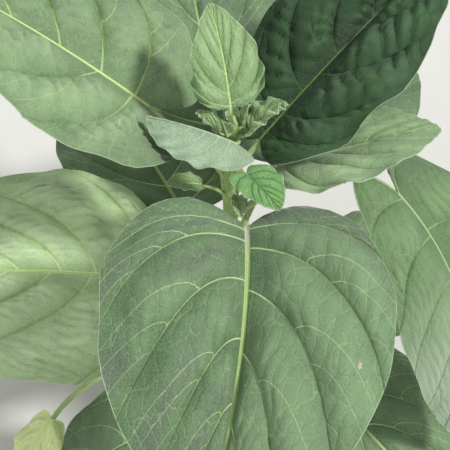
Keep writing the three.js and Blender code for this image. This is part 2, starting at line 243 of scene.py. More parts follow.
def mix(a, b, share):
    return a + (b - a) * share


def smooth_step(low, high, value):
    share = np.clip((value - low) / (high - low), 0, 1)
    return share * share * (3 - 2 * share)


def bell(offset, width):
    """1 where there is no offset, and less and less on both sides of it."""
    return np.exp(-(offset / width) ** 2)


def stacked(*values):
    """Columns of numbers side by side. A single number fills its column."""
    return np.stack(np.broadcast_arrays(*values), axis=-1)


def heading(turn, slope):
    """Unit vectors in directions round the stem, at slopes, both in degrees."""
    turn, slope = np.radians(turn), np.radians(slope)
    level = np.cos(slope)
    return stacked(np.cos(turn) * level, np.sin(turn) * level, np.sin(slope))


def stem_centre(z):
    share = np.asarray(z) / STEM_HEIGHT
    return stacked(STEM_LEAN[0] * share ** 2, STEM_LEAN[1] * share ** 2, share * STEM_HEIGHT)


def stem_radius(z):
    flare = np.maximum(0, 1 - np.asarray(z) / FLARE_HEIGHT) ** 2
    return mix(STEM_FOOT_RADIUS, STEM_TIP_RADIUS, np.asarray(z) / STEM_HEIGHT) + FLARE_RADIUS * flare


def along_path(path, share):
    """Points at shares of the way along a list of evenly spaced points."""
    place = np.clip(share, 0, 1) * (len(path) - 1)
    marks = np.arange(len(path))
    return np.stack([np.interp(place, marks, column) for column in path.T], axis=-1)


def stalk_direction(leaf, u):
    slope = mix(leaf.rise, leaf.pitch, u ** SLOPE_POWER)
    return heading(leaf.turn + leaf.swing * u ** SWING_POWER, slope)


def rib_direction(leaf, t):
    return heading(leaf.turn + leaf.swing + leaf.bend * t, leaf.pitch - leaf.droop * t ** DROOP_POWER)


def grow(row, number, prefix=""):
    """A leaf's row with its name and the paths of its stalk and midrib."""
    digits = str(number) if prefix else f"{number:02d}"
    leaf = SimpleNamespace(**{**USUAL, **row}, number=number, prefix=prefix, digits=digits)
    foot = stem_centre(leaf.node) + heading(leaf.turn, 0) * stem_radius(leaf.node)
    u = (np.arange(STALK_STEPS) + 0.5) / STALK_STEPS
    t = (np.arange(RIB_STEPS) + 0.5) / RIB_STEPS
    steps = stalk_direction(leaf, u) * leaf.stalk / STALK_STEPS
    leaf.stalk_path = np.vstack([foot, foot + np.cumsum(steps, axis=0)])
    end = leaf.stalk_path[-1]
    steps = rib_direction(leaf, t) * leaf.length / RIB_STEPS
    leaf.rib_path = np.vstack([end, end + np.cumsum(steps, axis=0)])
    return leaf


def cross_axes(along, tilt):
    """Directions to the left of a path and square above it, tilted by an angle in degrees."""
    left = np.cross((0.0, 0.0, 1.0), along)
    left /= np.linalg.norm(left, axis=-1, keepdims=True)
    above = np.cross(along, left)
    tilt = np.radians(tilt)[..., None]
    return left * np.cos(tilt) + above * np.sin(tilt), above * np.cos(tilt) - left * np.sin(tilt)


def vein_start(leaf, t):
    return VEIN_START * t + (1 - VEIN_START) * t ** leaf.slant


def flat_blade(leaf, t, s):
    """Points of the flat blade in millimetres, forward and to the left: t runs along the margin from
    the notch to the tip, and s across, from 1 on the left margin to -1 on the right one. Lines of one
    t are the runs of side veins, which sweep forward on their way out."""
    t = np.clip(t, 0, 1)
    start = vein_start(leaf, t)
    sweep, peak = VEIN_SWEEP
    t = t + sweep * (t / peak) * np.exp(1 - t / peak) * (1 - t) * s * s
    lobe = leaf.lobe + np.sign(s) * leaf.lobe_side
    angle = mix(math.radians(BASE_ANGLE), math.pi, t)
    along = (1 - np.cos(angle)) / 2
    full = (1 + leaf.fullness * np.cos(angle)) / (1 + leaf.fullness * FULLNESS_PEAK)
    margin_x = along * (1 + lobe) - lobe
    slow, fast, less, shift = RAGGED_WAVES
    ragged = np.sin(slow * t + leaf.number)
    ragged = ragged + less * np.sin(fast * t + shift * leaf.number + np.sign(s))
    margin_y = np.maximum(np.sin(angle), 0) ** (1 + leaf.taper * along ** 2) * full
    margin_y = margin_y * (1 + leaf.ragged * ragged)
    forward, out, reach = NOTCH_CURVE
    notch = np.exp(-t / reach)
    mid_x = mix(start, margin_x, leaf.arch + np.sign(s) * leaf.arch_side + forward * notch)
    mid_y = (VEIN_OUT - out * notch) * margin_y
    a = np.abs(s)
    x = (1 - a) ** 2 * start + 2 * a * (1 - a) * mid_x + a * a * margin_x
    y = 2 * a * (1 - a) * mid_y + a * a * margin_y
    return x * leaf.length, np.sign(s) * y * leaf.width / 2 + s * t * TIP_HALF_WIDTH


def blade_points(leaf, x, y, height):
    """Points of the blade in space, from places on the flat blade and heights over its middle."""
    share = x / leaf.length
    t = np.clip(share, 0, 1)
    along = rib_direction(leaf, t)
    side, top = cross_axes(along, leaf.roll + leaf.twist * t)
    points = along_path(leaf.rib_path, t) + along * (np.minimum(share, 0) * leaf.length)[:, None]
    hand = np.where(y < 0, -1.0, 1.0)
    out = np.abs(y)
    lift = leaf.fold + hand * leaf.side
    chord = np.radians(lift - leaf.cup * out / 2)
    slope = np.where(out > 0, np.radians(lift - leaf.cup * out), 0)
    phase = 2 * math.pi * leaf.waves * x / leaf.length + np.where(hand < 0, WAVE_LAG, 0)
    ripple = leaf.wave * (out / (leaf.width / 2)) ** 2 * np.sin(phase)
    sideways = hand * (out * np.cos(chord) - height * np.sin(slope))
    upwards = out * np.sin(chord) + ripple + height * np.cos(slope)
    return points + side * sideways[:, None] + top * upwards[:, None]


def soft_noise(x, y, reach, seed, waves=7):
    """A smooth uneven height between about -1 and 1, with bumps about as far apart as reach, and how
    steep it is."""
    rng = np.random.default_rng(seed)
    total, slope_x, slope_y = np.zeros_like(x), np.zeros_like(x), np.zeros_like(x)
    for _ in range(waves):
        turn, phase = rng.uniform(0, 2 * math.pi, 2)
        rate = 2 * math.pi / reach * rng.uniform(*NOISE_RATES)
        angle = (x * math.cos(turn) + y * math.sin(turn)) * rate + phase
        total += np.sin(angle)
        slope_x += np.cos(angle) * rate * math.cos(turn)
        slope_y += np.cos(angle) * rate * math.sin(turn)
    return total / math.sqrt(waves), np.hypot(slope_x, slope_y) / math.sqrt(waves)


def vein_places(leaf, hand):
    """Shares of the margin at which one side's veins run, from where they leave the midrib."""
    t = np.linspace(0, 1, MARGIN_STEPS)
    shares = np.array(leaf.veins[hand])
    rng = np.random.default_rng(leaf.number * 2 + (hand > 0) + len(leaf.prefix))
    gaps = np.gradient(shares)
    moved = shares + leaf.stray * VEIN_STRAY * gaps * rng.uniform(-1, 1, len(shares))
    return np.interp(moved, vein_start(leaf, t), t)


# A side vein's branches: where each leaves it, as a share of the way out, and how far it strays
# towards the vein before by the time it meets the margin. They turn away faster at first, and
# their slope is taken from a little way out, because it has no end where they leave.
BRANCHES = ((0.4, 0.72), (0.62, 0.5), (0.82, 0.24))
BRANCH_POWER = 0.72
BRANCH_SET_OFF = 0.02
BRANCH_STRAY = 0.05
# Gaps between side veins, as shares of a leaf's length, over which branches come in.
BRANCH_ROOM = (0.04, 0.1)
BRANCH_WIDTH = 0.55
# Shares of its width that a side vein keeps at the margin, and that the one at the tip has.
VEIN_THINNING = (0.38, 0.6)
THINNING_POWER = 0.8
# A distance that no vein of the same blade comes near, in half widths.
FAR = 400.0


def slopes(leaf, t, s, step=1e-3):
    """How fast the flat blade's points move with t and with s, in millimetres."""
    t_low, t_high = np.maximum(t - step, 0), np.minimum(t + step, 1)
    by_t = np.subtract(flat_blade(leaf, t_high, s), flat_blade(leaf, t_low, s)) / (t_high - t_low)
    by_s = np.subtract(flat_blade(leaf, t, s + step), flat_blade(leaf, t, s - step)) / (2 * step)
    return by_t, by_s


def gap_to_line(offset, by_t, by_s, bend):
    """Distance to a line across the blade, from how far off it lies along t and how it bends with s."""
    cell = np.abs(by_t[0] * by_s[1] - by_t[1] * by_s[0])
    run = np.hypot(by_s[0] + by_t[0] * bend, by_s[1] + by_t[1] * bend)
    return np.abs(offset) * cell / run


def signed_nearer(nearest, gap, side):
    """The nearer of two distances, with a sign that changes at every line that either is taken from.
    Such a distance can be drawn sharply on a coarse mesh."""
    return np.sign(nearest * side) * np.minimum(np.abs(nearest), np.abs(gap))


def vein_gaps(leaf, t, a, by_t, by_s, places, hand):
    """Distances to the nearest side vein and to the nearest branch of one, in half widths of each. Up
    to where it leaves its vein, a branch runs along it."""
    by_margin, by_tip = VEIN_THINNING
    width = leaf.vein * mix(1, by_margin, a ** THINNING_POWER) * mix(1, by_tip, t)
    vein, branch = np.full_like(t, FAR), np.full_like(t, FAR)
    rng = np.random.default_rng(leaf.number * 2 + (hand > 0))
    for before, place in zip((0, *places), places):
        vein = np.minimum(vein, gap_to_line(t - place, by_t, by_s, 0) / width)
        strays = rng.uniform(-BRANCH_STRAY, BRANCH_STRAY, (len(BRANCHES), 2))
        for begin, stray in np.add(BRANCHES, strays):
            way = np.clip((a - begin) / (1 - begin), 0, 1)
            reach = stray * (place - before)
            slope = BRANCH_POWER * np.maximum(way, BRANCH_SET_OFF) ** (BRANCH_POWER - 1) / (1 - begin)
            offset = t - place + reach * way ** BRANCH_POWER
            gap = gap_to_line(offset, by_t, by_s, -hand * reach * slope * (a > begin))
            branch = signed_nearer(branch, gap / (BRANCH_WIDTH * width), offset)
    return vein, branch


# How unevenly the rows of cross veins lie and over how many of their distances, how far each band
# between two side veins shifts them, and a number that keeps the bands of the two sides apart.
RUNG_STRAY = 0.3
RUNG_REACH = 3.2
BAND_SHIFT = 0.37
OTHER_SIDE = 20
# How far apart the links between cross veins are, in distances between cross veins, and what keeps
# them from spreading where the noise that they follow is nearly level.
LINK_REACH = 2.3
LEAST_STEEP = 0.8


def vein_pattern(leaf, t, s):
    """Where points of the blade lie among its veins."""
    x, y = flat_blade(leaf, t, s)
    by_t, by_s = slopes(leaf, t, s)
    a = np.abs(s)
    vein, branch, share, band, gap = (np.zeros_like(t) for _ in range(5))
    for hand in (1, -1):
        on = (s > 0) if hand > 0 else (s <= 0)
        places = vein_places(leaf, hand)
        marks = np.concatenate([[0], places, [1]])
        index = np.clip(np.searchsorted(marks, t[on], side="right") - 1, 0, len(places))
        share[on] = (t[on] - marks[index]) / (marks[index + 1] - marks[index])
        band[on] = index + OTHER_SIDE * (hand > 0)
        gap[on] = gap_to_line(marks[index + 1] - marks[index], by_t[:, on], by_s[:, on], 0)
        vein[on], branch[on] = vein_gaps(leaf, t[on], a[on], by_t[:, on], by_s[:, on], places, hand)
    branch /= smooth_step(*BRANCH_ROOM, gap / leaf.length) + 1 / FAR
    seed = leaf.number + 100 * len(leaf.prefix)
    out = np.hypot(x - vein_start(leaf, t) * leaf.length, y) / leaf.rung
    rungs = out + RUNG_STRAY * soft_noise(x, y, RUNG_REACH * leaf.rung, seed + 3)[0] + band * BAND_SHIFT
    rungs += leaf.lean * share
    steeper = np.hypot(1, leaf.lean * leaf.rung / np.maximum(gap, 1))
    across = np.sin(np.pi * rungs) * leaf.rung / (np.pi * steeper)
    uneven, steepness = soft_noise(x, y, LINK_REACH * leaf.rung, seed + 4)
    links = uneven / np.hypot(steepness, LEAST_STEEP / leaf.rung)
    net = signed_nearer(across, links, links)
    rim = (1 - a) * np.hypot(*by_s)
    return SimpleNamespace(x=x, y=y, a=a, vein=vein, branch=branch, share=share, gap=gap, rungs=rungs,
                           net=net, rim=rim, seed=seed)


# Shares of the way out from the midrib over which the blade leaves it, bulges less, stops
# puckering, and is crisped at its margin and by its notch.
OFF_RIB = (0.02, 0.32)
LEVEL_OFF = (0.7, 1)
PUCKERS_END = (0.8, 1)
CRISPED = (0.72, 1)
RUFFLED = (0.5, 1)
# How round bulges are, and what is left of one at the margin.
ROUNDNESS = 0.8
DOME_ROUNDNESS = 0.9
MARGIN_BULGE = 0.45
# Share of a leaf's length at which the gap between two side veins bulges by all that it should, how
# much more a broader one may, and how unevenly and over how many millimetres they bulge.
FULL_GAP = 0.17
BROADEST = 1.2
QUILT_STRAY = 0.3
QUILT_REACH = 45
# Puckers: the sunken border of one, as a share of the distance between cross veins, its height
# against that of the short bars that stand up behind a side vein, and where those stand, as shares
# of the way to it from the one before. Then the height and size of the small dents among them.
CELL_BORDER = 0.16
CELL_HEIGHT = 0.8
BAR_PLACE = 0.76
BAR_WIDTH = 0.24
DENTS = (0.22, 0.7)
# Shares of the margin over which each half's dome rises and falls, and how far from the notch its
# ruffles reach.
DOME_RISES = (0, 0.2)
DOME_FALLS = (0.75, 1)
RUFFLE_REACH = 0.26
# How the waves at the margin crowd and spread along it, and how far the right side's lag behind.
CRISP_SWAY = (1.5, 9)
CRISP_LAG = 1.9
# How deep and wide veins sink on top and stand out below, in half widths, and what share of its
# foot's width the midrib has at its end.
GROOVE_WIDTH = 1.5
RIB_GROOVE = (0.45, 1.2)
VEIN_RELIEF = 1.3
RIB_RELIEF = (0.3, 1.3)
RIB_END = 0.35
# Where the dull bloom lies, partly hairs and partly painted shade on the flank that faces away from
# the light, as shares of the way from one side vein to the next, how patchy it is over how many
# millimetres, and how it gathers by the notch.
BLOOM_AND_SHADE_PLACE = 0.62
BLOOM_AND_SHADE_WIDTH = 0.2
BLOOM_AND_SHADE_PATCHES = (-1.3, 0.6)
BLOOM_AND_SHADE_REACH = 70
NOTCH_BLOOM_AND_SHADE = 0.14
NOTCH_BLOOM_AND_SHADE_START = (0.05, 0.3)
# How much bulges, puckers and bars count towards the painted light on crests, against the painted
# shade in the hollows between them.
PAINTED_CREST_SHARES = (0.45, 0.25, 0.5)
# How far a dry scar reaches, in millimetres, and how much longer it is than broad.
SCAR_REACH = 4.2
SCAR_LENGTH = 1.8


def blade_relief(leaf, t, s, settings):
    """The height of the blade's upper skin, and the attributes that its material reads."""
    at = vein_pattern(leaf, t, s)
    along = at.x / leaf.length
    rib = np.abs(at.y) / (leaf.rib * mix(1, RIB_END, np.clip(along, 0, 1) ** THINNING_POWER))
    off_rib = smooth_step(*OFF_RIB, at.a)
    inside = off_rib * (1 - smooth_step(*PUCKERS_END, at.a))
    arc = np.sin(np.pi * at.share)
    bulge = arc ** ROUNDNESS * off_rib * mix(1, MARGIN_BULGE, smooth_step(*LEVEL_OFF, at.a))
    domes = (1 - bell(at.net, CELL_BORDER * leaf.rung)) * arc ** DOME_ROUNDNESS * off_rib
    bars = np.abs(np.sin(np.pi * at.rungs)) ** ROUNDNESS * bell(at.share - BAR_PLACE, BAR_WIDTH)
    broad = np.minimum(at.gap / (FULL_GAP * leaf.length), BROADEST)
    uneven = 1 + QUILT_STRAY * soft_noise(at.x, at.y, QUILT_REACH, at.seed)[0]
    height = settings.quilt * leaf.quilt * bulge * broad * uneven
    puckers = (CELL_HEIGHT * domes + bars) * inside * np.minimum(broad, 1)
    height += settings.pucker * leaf.pucker * puckers
    depth, size = DENTS
    height += depth * leaf.pucker * inside * soft_noise(at.x, at.y, leaf.rung * size, at.seed + 1)[0]
    dome = np.sin(np.pi * at.a) * smooth_step(*DOME_RISES, t) * (1 - smooth_step(*DOME_FALLS, t))
    height += leaf.dome * dome
    sway, rate = CRISP_SWAY
    wave = np.sin(2 * np.pi * leaf.crisps * t + sway * np.sin(rate * t) + CRISP_LAG * (s < 0))
    ruffle = leaf.crisp_foot * smooth_step(*RUFFLED, at.a) * bell(t, RUFFLE_REACH)
    height += (leaf.crisp * smooth_step(*CRISPED, at.a) + ruffle) * wave
    groove = bell(np.minimum(at.vein, np.abs(at.branch)), GROOVE_WIDTH)
    height -= settings.groove * leaf.vein * groove * off_rib
    depth, width = RIB_GROOVE
    height -= settings.groove * leaf.rib * depth * bell(rib, width)
    rise, width = RIB_RELIEF
    ribs = leaf.vein * VEIN_RELIEF * groove + rise * leaf.rib * bell(rib, width)
    patches = smooth_step(*BLOOM_AND_SHADE_PATCHES, soft_noise(at.x, at.y, BLOOM_AND_SHADE_REACH, at.seed + 2)[0])
    # Dull bloom, partly hairs and partly painted shade, on the flank of each bulge that faces away from
    # the light, and by the notch.
    smudge = bell(at.share - BLOOM_AND_SHADE_PLACE, BLOOM_AND_SHADE_WIDTH) * (s < 0) * patches * off_rib
    by_notch = bell(t, NOTCH_BLOOM_AND_SHADE) * (s > 0) * smooth_step(*NOTCH_BLOOM_AND_SHADE_START, at.a)
    smudge = np.maximum(smudge, by_notch)
    by_bulge, by_dome, by_bar = PAINTED_CREST_SHARES
    # Painted light on crests and painted shade in hollows, and one half painted lighter than the other.
    painted_crest_light = by_bulge * bulge + by_dome * domes + by_bar * min(leaf.pucker, 1) * bars * inside
    painted_crest_light = np.clip(painted_crest_light + leaf.tint * s, 0, 1)
    scar_x, scar_y = leaf.scar or (-FAR, 0)
    scar = bell(np.hypot(at.x - scar_x, SCAR_LENGTH * (at.y - scar_y)), SCAR_REACH)
    attributes = {
        "vein_gaps": stacked(rib, at.vein, at.net * math.sqrt(USUAL["rung"] / leaf.rung)),
        "blade_places": stacked(painted_crest_light, leaf.bloom * smudge, np.clip(along, 0, 1)),
        "blade_edges": stacked(at.rim, at.a, at.branch),
        "blade_marks": stacked(scar, 0, 0),
    }
    return at, height, ribs, attributes


# How much closer together a blade's rows are by a vein, over what share of the margin, how finely
# that is worked out, and how much closer its columns are by the midrib and the margins.
ROW_PEAK = 6.0
ROW_WIDTH = 0.012
ROW_SAMPLES = 4001
COLUMN_PINCH = 0.5


def row_places(leaf, count):
    """Shares of the margin for a blade's rows: closer together by the veins, with one on each."""
    veins = np.concatenate([vein_places(leaf, 1), vein_places(leaf, -1)])
    t = np.linspace(0, 1, ROW_SAMPLES)
    density = 1 + ROW_PEAK * bell(t[:, None] - veins, ROW_WIDTH).sum(axis=1)
    filled = np.cumsum(density) - density[0]
    rows = np.interp(np.linspace(0, filled[-1], count + 1), filled, t)
    for vein in veins:
        rows[1 + np.abs(rows[1:-1] - vein).argmin()] = vein
    return np.sort(rows)


def column_places(count):
    """Shares across a blade, from its left margin to its right one."""
    share = np.linspace(1, -1, count + 1)
    return share - COLUMN_PINCH * np.sin(2 * np.pi * share) / (2 * np.pi)


def new_object(name, bm):
    mesh = bpy.data.meshes.new(name)
    bm.to_mesh(mesh)
    bm.free()
    piece = bpy.data.objects.new(name, mesh)
    bpy.context.scene.collection.objects.link(piece)
    return piece


def corners(piece):
    """The vertices' coordinates, one row for each axis."""
    places = np.empty(len(piece.data.vertices) * 3, np.float32)
    piece.data.vertices.foreach_get("co", places)
    return places.reshape(-1, 3).astype(float).T


def finish_piece(piece, points, attributes, materials, slot, *nodes):
    """Moves a piece's vertices to points in millimetres, smooths all but its sharp edges, dresses it,
    and lets it ride on the plant's body and stand for its solids."""
    mesh = piece.data
    mesh.vertices.foreach_set("co", (points * MM).astype(np.float32).ravel())
    mesh.shade_smooth()
    mesh.set_sharp_from_angle(angle=math.radians(SHARP_ANGLE))
    mesh.update()
    for name, values in attributes.items():
        layer = mesh.attributes.new(name, "FLOAT_VECTOR", "POINT")
        layer.data.foreach_set("vector", values.astype(np.float32).ravel())
    for material in materials:
        mesh.materials.append(material)
    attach(piece, "root")
    if nodes:
        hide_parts(*nodes)


def grid_plate(name, columns, rows):
    """A flat grid with a second one above it and walls round the edge, one unit each way."""
    bm = bmesh.new()
    bmesh.ops.create_grid(bm, x_segments=columns, y_segments=rows, size=0.5)
    raised = bmesh.ops.extrude_face_region(bm, geom=bm.faces[:])["geom"]
    lifted = [item for item in raised if isinstance(item, bmesh.types.BMVert)]
    bmesh.ops.translate(bm, verts=lifted, vec=(0, 0, 1))
    bmesh.ops.recalc_face_normals(bm, faces=bm.faces[:])
    bm.normal_update()
    for face in bm.faces:
        face.material_index = 1 if face.normal.z < -0.5 else 0
    return new_object(name, bm)


# A small blade's thickness against a grown one's, and where veins stop standing out below.
SMALL_THICKNESS = 0.6
VEINS_END = (0.93, 1)


def make_blade(leaf, columns, rows, settings, skins):
    """A leaf's blade: its upper skin with sunken veins, and an underside on which they stand out."""
    piece = grid_plate(f"leaf_{leaf.prefix}{leaf.digits}", columns, rows)
    x, y, z = corners(piece)
    t = row_places(leaf, rows)[np.rint((y + 0.5) * rows).astype(int)]
    s = column_places(columns)[np.rint((x + 0.5) * columns).astype(int)]
    at, height, ribs, attributes = blade_relief(leaf, t, s, settings)
    thickness = settings.thickness / MM * (SMALL_THICKNESS if leaf.prefix else 1)
    height = height - (z < 0.5) * (thickness + ribs * (1 - smooth_step(*VEINS_END, at.a)))
    slot = {"old": "old_leaf"}.get(leaf.skin, "young_leaf" if leaf.prefix else "leaf")
    finish_piece(piece, blade_points(leaf, at.x, at.y, height), attributes, skins[leaf.skin], slot,
                 f"{leaf.prefix}blade_{leaf.digits}")


# The wings on a stalk: their faces, their slope in degrees, the share of the stalk where they start,
# the stretch of an arc that their width follows, their ruffle's height as a share of their width,
# its half waves, how far it lags on the right, their thickness, and how much painted light their
# edges get, as crests do.
WING_COLUMNS = 24
WING_ROWS = 56
WING_RISE = 38
WING_START = 0.12
WING_ARC = (0.08, 0.72)
WING_RUFFLE = 0.3
WING_WAVES = 4.2
WING_LAG = 1.4
WING_THICKNESS = 0.3
WING_PAINTED_LIGHT = 0.5


def make_wings(leaf, skins):
    """The ruffled wings by which a young blade runs down both sides of its stalk."""
    piece = grid_plate(f"wings_of_{leaf.prefix}leaf_{leaf.digits}", WING_COLUMNS, WING_ROWS)
    x, y, z = corners(piece)
    u, s = mix(WING_START, 1, y + 0.5), -2 * x
    a = np.abs(s)
    side, top = cross_axes(stalk_direction(leaf, u), leaf.roll * u ** ROLL_POWER)
    width = leaf.wing * np.sin(np.pi * mix(*WING_ARC, u)) ** ROUNDNESS
    ruffle = WING_RUFFLE * leaf.wing * a ** 2 * np.sin(WING_WAVES * np.pi * u + WING_LAG * (s < 0))
    height = width * a * math.tan(math.radians(WING_RISE)) + ruffle - (z < 0.5) * WING_THICKNESS
    points = along_path(leaf.stalk_path, u) + side * (s * width)[:, None] + top * height[:, None]
    attributes = {
        "vein_gaps": stacked(a * width / leaf.rib, FAR, FAR),
        # The wings' edges get painted light, as crests do.
        "blade_places": stacked(WING_PAINTED_LIGHT * a, 0, 0),
        "blade_edges": stacked((1 - a) * width, a, FAR),
    }
    finish_piece(piece, points, attributes, skins[leaf.skin], "young_leaf")


def tube(name, sides, rings):
    """A closed tube of radius 1 from height 0 to 1: a straight line spun round, with its ends filled."""
    bm = bmesh.new()
    line = [bm.verts.new((1, 0, i / rings)) for i in range(rings + 1)]
    edges = [bm.edges.new(pair) for pair in zip(line, line[1:])]
    bmesh.ops.spin(bm, geom=line + edges, cent=(0, 0, 0), axis=(0, 0, 1), angle=2 * math.pi,
                   steps=sides, use_merge=True)
    bmesh.ops.remove_doubles(bm, verts=bm.verts[:], dist=1e-5)
    bmesh.ops.holes_fill(bm, edges=[e for e in bm.edges if e.is_boundary], sides=0)
    bmesh.ops.recalc_face_normals(bm, faces=bm.faces[:])
    return new_object(name, bm)


# A stalk and its midrib: faces round and along it, its foot's radius as a share of the stem's, and
# its radius under the blade's foot and at the midrib's end, on a grown leaf and on a small one.
STALK = SimpleNamespace(sides=24, rings=150, foot=0.55, end=2.4, tip=0.45)
SMALL_STALK = SimpleNamespace(sides=14, rings=40, foot=0.38, end=0.9, tip=0.25)
# How far along its leaf the midrib reaches, and how its taper builds up.
RIB_REACH = 0.94
RIB_TAPER_POWER = 0.7
# The channel on top: its depth, its width in radians, and how it opens and closes.
CHANNEL_DEPTH = 0.3
CHANNEL_WIDTH = 0.62
CHANNEL_OPENS = (0, 0.12)
CHANNEL_CLOSES = (0, 0.06)
# How much wider the foot is, over how many millimetres, and how deep it sits in the stem.
FOOT_SPREAD = 0.35
FOOT_REACH = 5
FOOT_DEPTH = 3
# Height and number of a stalk's ribs, and height, length and twist of its slow waves.
STALK_RIBS = (0.025, 5)
STALK_WAVES = (0.03, 9, 3)
# How far below the blade the midrib's top lies, and by what share of the stalk it gets there.
SUNK = 0.5
SUNK_BY = 0.8


def make_stalk(leaf, material):
    """A leaf's stalk, channelled on top and spread at its foot, which runs on as the midrib."""
    form = SMALL_STALK if leaf.prefix else STALK
    piece = tube(f"stalk_of_{leaf.prefix}leaf_{leaf.digits}", form.sides, form.rings)
    x, y, z = corners(piece)
    angle = np.arctan2(x, -y)
    way = z * (leaf.stalk + RIB_REACH * leaf.length)
    u = np.minimum(way / leaf.stalk, 1)
    t = np.maximum(way - leaf.stalk, 0) / leaf.length
    on_rib = (t > 0)[:, None]
    along = np.where(on_rib, rib_direction(leaf, t), stalk_direction(leaf, u))
    side, top = cross_axes(along, leaf.roll * u ** ROLL_POWER + leaf.twist * t)
    path = np.where(on_rib, along_path(leaf.rib_path, t), along_path(leaf.stalk_path, u))
    stalk_radius = mix(form.foot * stem_radius(leaf.node), form.end, u ** TAPER_POWER)
    rib_radius = mix(form.end, form.tip, (t / RIB_REACH) ** RIB_TAPER_POWER)
    radius = np.where(t > 0, rib_radius, stalk_radius)
    radius = radius * (1 + FOOT_SPREAD * np.exp(-way / FOOT_REACH))
    open_top = (1 - smooth_step(*CHANNEL_CLOSES, t)) * smooth_step(*CHANNEL_OPENS, u)
    channel = CHANNEL_DEPTH * open_top * bell(angle, CHANNEL_WIDTH)
    (rib, ribs), (wave, length, twist) = STALK_RIBS, STALK_WAVES
    ridges = rib * np.cos(angle * ribs) + wave * np.sin(way / length + twist * angle + leaf.number)
    reach = radius * (1 - channel + ridges)
    sunk = (radius + SUNK) * np.minimum(u / SUNK_BY, 1) ** 2
    inward = (along * (z < 0.5 / form.rings)[:, None]) * -FOOT_DEPTH
    points = path + side * (-np.sin(angle) * reach)[:, None]
    points += top * (np.cos(angle) * reach - sunk)[:, None] + inward
    finish_piece(piece, points, {"stalk_places": stacked(angle, way, u)}, [material], "stalk",
                 f"{leaf.prefix}stalk_{leaf.digits}")


# Faces round and along the stem.
STEM_SIDES = 72
STEM_RINGS = 430
# Swelling under a stalk: its half width in radians, its half height, and how much of it a small
# leaf's stalk makes. Then the ridge that runs down from it: its half width, and where it sets in
# and ends below the stalk.
COLLAR_WIDTH = 0.75
COLLAR_HEIGHT = 6
SMALL_SWELLING = 0.4
TRACE_WIDTH = 0.3
TRACE_START = (-2, 6)
TRACE_LENGTH = 48
# The stem's fine ribs and slow waves: height, number round it, and length, and the most that all
# of its relief may stand out.
STEM_RIBS = (0.12, 9, 40)
STEM_WAVES = (0.2, 2, 17)
MOST_RELIEF = 2.2


def make_stem(leaves, settings, material):
    """The stem: swollen under each stalk, with a ridge running down from it, and finely ribbed."""
    piece = tube("stem_skin", STEM_SIDES, STEM_RINGS)
    x, y, z = corners(piece)
    angle = np.arctan2(y, x)
    z = z * STEM_HEIGHT
    relief = np.zeros_like(z)
    for leaf in leaves:
        size = SMALL_SWELLING if leaf.prefix else 1
        turned = np.angle(np.exp(1j * (angle - math.radians(leaf.turn))))
        drop = leaf.node - z
        collar = bell(turned, COLLAR_WIDTH) * bell(drop, COLLAR_HEIGHT)
        trace = bell(turned, TRACE_WIDTH) * smooth_step(*TRACE_START, drop)
        trace *= 1 - smooth_step(TRACE_START[1], TRACE_LENGTH, drop)
        relief += size * (settings.swelling / MM * collar + settings.ridge / MM * trace)
    (rib, ribs, length), (wave, waves, slow) = STEM_RIBS, STEM_WAVES
    relief += rib * np.sin(angle * ribs + z / length) + wave * np.sin(z / slow + waves * angle)
    radius = stem_radius(z) + np.minimum(relief, MOST_RELIEF)
    around = stacked(np.cos(angle), np.sin(angle), 0)
    finish_piece(piece, stem_centre(z) + around * radius[:, None],
                 {"stalk_places": stacked(angle, z, z / STEM_HEIGHT)}, [material], "stem", "stem")


# Faces round and along the bud, and the ridges of its unopened leaves: height, number and twist.
BUD_SIDES = 30
BUD_RINGS = 24
BUD_WRAPS = (0.16, 3, 5)
BUD_ROUNDNESS = 0.7


def make_bud(material):
    """The growing tip: a pointed bud wrapped in the ridges of its unopened leaves."""
    piece = tube("growing_tip", BUD_SIDES, BUD_RINGS)
    x, y, share = corners(piece)
    angle = np.arctan2(y, x)
    ridge, count, twist = BUD_WRAPS
    wraps = 1 + ridge * np.cos(count * angle + twist * share) * np.sin(np.pi * share) ** 0.5
    radius = BUD_RADIUS * np.cos(share * math.pi / 2) ** BUD_ROUNDNESS * wraps
    around = stacked(np.cos(angle) * radius, np.sin(angle) * radius, share * BUD_HEIGHT)
    finish_piece(piece, stem_centre(STEM_HEIGHT) + around,
                 {"stalk_places": stacked(angle, share * BUD_HEIGHT, share)}, [material],
                 "young_leaf", "bud")


def new_material(name):
    material = bpy.data.materials.new(name)
    material.use_nodes = True
    return material, material.node_tree, material.node_tree.nodes["Principled BSDF"]


def add_node(tree, kind, settings=None, inputs=()):
    """Adds a node with its own settings, gives its open inputs values or links sockets to them, in
    order or by name, and returns its open outputs by name."""
    node = tree.nodes.new("ShaderNode" + kind)
    for name, value in (settings or {}).items():
        setattr(node, name, value)
    sockets = [socket for socket in node.inputs if socket.enabled]
    if isinstance(inputs, dict):
        by_name = {socket.name: socket for socket in sockets}
        pairs = [(by_name[name], value) for name, value in inputs.items()]
    else:
        pairs = zip(sockets, inputs)
    for socket, value in pairs:
        if isinstance(value, bpy.types.NodeSocket):
            tree.links.new(value, socket)
        else:
            socket.default_value = value
    return {socket.name: socket for socket in node.outputs if socket.enabled}


def split_attribute(tree, name):
    """The three number sockets of a vector that the mesh carries."""
    vector = add_node(tree, "Attribute", {"attribute_name": name})["Vector"]
    return list(add_node(tree, "SeparateXYZ", None, (vector,)).values())


def scaled(colour, factor):
    """A linear colour made lighter or darker."""
    return (*(min(1.0, factor * c) for c in colour[:3]), 1.0)


COLOURS = {"data_type": "RGBA"}
SMOOTH = {"interpolation_type": "SMOOTHSTEP"}

